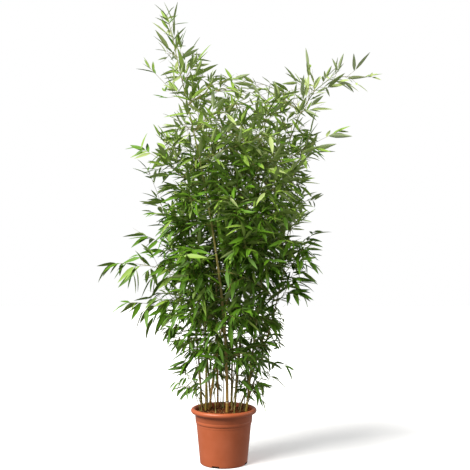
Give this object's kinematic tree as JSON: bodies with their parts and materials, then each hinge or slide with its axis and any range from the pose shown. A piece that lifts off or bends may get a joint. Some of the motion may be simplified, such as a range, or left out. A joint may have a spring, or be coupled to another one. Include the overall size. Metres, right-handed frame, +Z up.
{
  "type": "potted bamboo",
  "caption": "Clump of bamboo in a round terracotta-coloured pot: jointed culms fan out of the compost and carry loose sprays of long narrow leaves.",
  "frame": {"origin": "middle of the pot's flat underside", "axes": "+Z up along the pot's axis, -Y towards the viewer of the picture, +X to the viewer's right"},
  "size_m": [1.2059, 0.6805, 1.9067],
  "materials": {
    "terracotta_pot": "satin",
    "compost": "rough",
    "culm": "satin",
    "foliage": "satin"
  },
  "bodies": {
    "root": {"pot": "terracotta_pot", "soil": "compost", "culm_main": "culm", "culm_front_left": "culm", "culm_left": "culm", "culm_back_middle": "culm", "culm_back": "culm", "culm_right": "culm", "culm_arching_right": "culm", "culm_front_right": "culm", "culm_inner": "culm", "culm_back_left": "culm", "culm_back_right": "culm", "arm_left_long": "foliage", "arm_left_low": "foliage", "arm_left_high": "foliage", "arm_right_high": "foliage", "arm_right_middle": "foliage", "arm_right_low": "foliage", "arm_over_arch": "foliage", "arm_tip_right": "foliage", "arm_tip_left": "foliage", "arm_under_arch": "foliage", "top_main": "foliage", "top_left": "foliage", "top_back_middle": "foliage", "top_back": "foliage", "top_arching_right": "foliage", "top_front_right": "foliage", "top_inner": "foliage", "top_back_left": "foliage", "spray_arching_right_1": "foliage", "spray_inner_1": "foliage", "spray_inner_2": "foliage", "spray_front_left_1": "foliage", "spray_back_1": "foliage", "spray_arching_right_2": "foliage", "spray_back_middle_1": "foliage", "spray_front_left_2": "foliage", "spray_back_2": "foliage", "spray_arching_right_3": "foliage", "spray_left_1": "foliage", "spray_inner_3": "foliage", "spray_main_1": "foliage", "spray_arching_right_4": "foliage", "spray_front_left_3": "foliage", "spray_arching_right_5": "foliage", "spray_inner_4": "foliage", "spray_main_2": "foliage", "spray_arching_right_6": "foliage", "spray_main_3": "foliage", "spray_back_left_4": "foliage", "spray_back_middle_2": "foliage", "spray_back_right_2": "foliage", "spray_main_5": "foliage", "spray_front_left_4": "foliage", "spray_front_right_1": "foliage", "spray_inner_5": "foliage", "spray_front_left_5": "foliage", "spray_arching_right_7": "foliage"}
  },
  "joints": []
}
